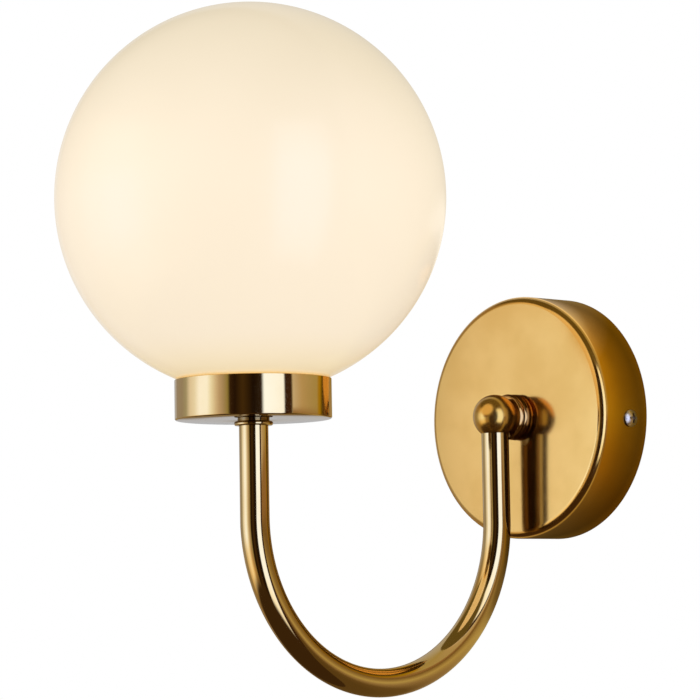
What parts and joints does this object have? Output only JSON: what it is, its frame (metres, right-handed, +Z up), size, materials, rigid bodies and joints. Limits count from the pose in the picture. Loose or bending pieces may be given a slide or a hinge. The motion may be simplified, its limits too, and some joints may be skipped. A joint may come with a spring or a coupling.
{
  "type": "globe wall sconce",
  "caption": "Wall light with a round brass canopy, a U-bent brass tube arm and an upright opal glass globe held in a shallow brass cup.",
  "frame": {"origin": "middle of the canopy, on the wall plane", "axes": "+Y out of the back into the wall, -Y out of the wall towards the room, +Z up, +X to the right seen from the room"},
  "size_m": [0.18, 0.29, 0.3206],
  "materials": {
    "satin_brass": "fine brushed satin, lacquered",
    "polished_brass": "polished, lacquered",
    "raw_brass": "plain",
    "zinc_steel": "zinc plated",
    "nickel_steel": "nickel plated",
    "spring_steel": "plain spring steel",
    "tinned_copper": "tinned",
    "white_plastic": "moulded",
    "black_plastic": "moulded",
    "silicone": "soft, translucent white",
    "opal_glass": "opal, white all through, smooth",
    "ceramic": "unglazed",
    "solder": "soldered dome",
    "board": "white solder mask",
    "bulb_diffuser": "satin opal",
    "flex_sheath": "PVC sheath",
    "brown_core": "PVC insulation",
    "blue_core": "PVC insulation",
    "earth_core": "green and yellow PVC insulation"
  },
  "bodies": {
    "fixture": {"canopy": "satin_brass", "wall_bracket": "zinc_steel", "canopy_side_screws": "nickel_steel", "earth_ring_terminal": "tinned_copper", "earth_screw": "zinc_steel", "terminal_block": "white_plastic", "terminal_inserts": "raw_brass", "terminal_screws": "zinc_steel", "terminal_fixing_screw": "zinc_steel", "canopy_nipple": "zinc_steel", "canopy_locknut": "zinc_steel", "canopy_tooth_washer": "zinc_steel", "ringed_collar": "polished_brass", "arm_ball": "polished_brass", "arm_tube": "polished_brass", "ball_nipple": "zinc_steel", "cup_nipple": "zinc_steel", "cup_flange": "polished_brass", "globe_cup": "polished_brass", "cup_locknut": "zinc_steel", "globe_gasket": "silicone", "globe_clip": "spring_steel", "holder_cap": "black_plastic", "holder_insert": "ceramic", "holder_sleeve": "black_plastic", "holder_screw_shell": "raw_brass", "holder_tongue": "raw_brass", "arm_flex": "flex_sheath", "live_core": "brown_core", "neutral_core": "blue_core", "earth_core": "earth_core", "earth_lead": "earth_core"},
    "glass_globe": {"globe": "opal_glass"},
    "lamp_bulb": {"bulb_contact": "solder", "bulb_insulator": "black_plastic", "bulb_cap": "nickel_steel", "bulb_body": "white_plastic", "led_board": "board", "bulb_envelope": "bulb_diffuser"}
  },
  "joints": [
    {"name": "globe_lift", "type": "slide", "parent": "fixture", "child": "glass_globe", "axis": [0, 0, 1], "range_m": [0, 0.12]},
    {"name": "bulb_lift", "type": "slide", "parent": "fixture", "child": "lamp_bulb", "axis": [0, 0, 1], "range_m": [0, 0.028]}
  ]
}
